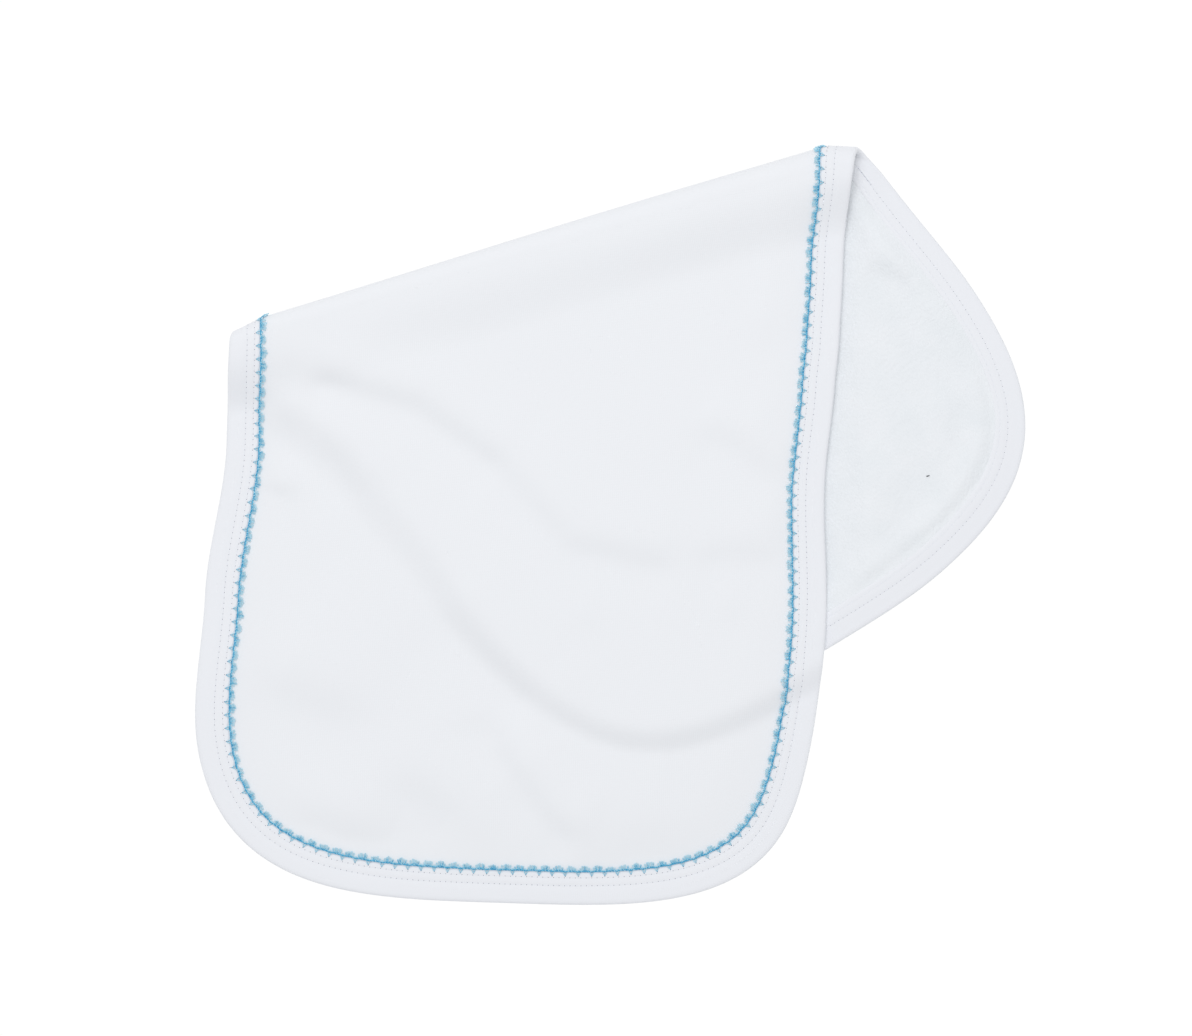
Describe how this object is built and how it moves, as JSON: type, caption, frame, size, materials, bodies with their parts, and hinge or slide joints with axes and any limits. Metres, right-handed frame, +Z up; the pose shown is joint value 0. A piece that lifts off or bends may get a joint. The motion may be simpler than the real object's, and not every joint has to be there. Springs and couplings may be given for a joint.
{
  "type": "burp cloth",
  "caption": "Two-layer burp cloth, smooth jersey over looped terry, folded once on a slant, with a sewn edge band and a scalloped picot trim.",
  "frame": {"origin": "centre of the bounding box, on the surface that the cloth lies on", "axes": "+Z up from the surface, the shortest extent; +X across the picture and +Y towards its top, so the fold lies at +Y and the lower flap shows at +X"},
  "size_m": [0.3375, 0.3085, 0.0174],
  "materials": {
    "jersey": "smooth white jersey knit",
    "terry": "white looped terry",
    "binding": "white jersey band with two rows of stitches",
    "picot": "sky-blue crochet-like thread"
  },
  "bodies": {
    "root": {"face_panel": "jersey", "terry_panel": "terry", "edge_binding": "binding", "picot_trim": "picot"}
  },
  "joints": []
}
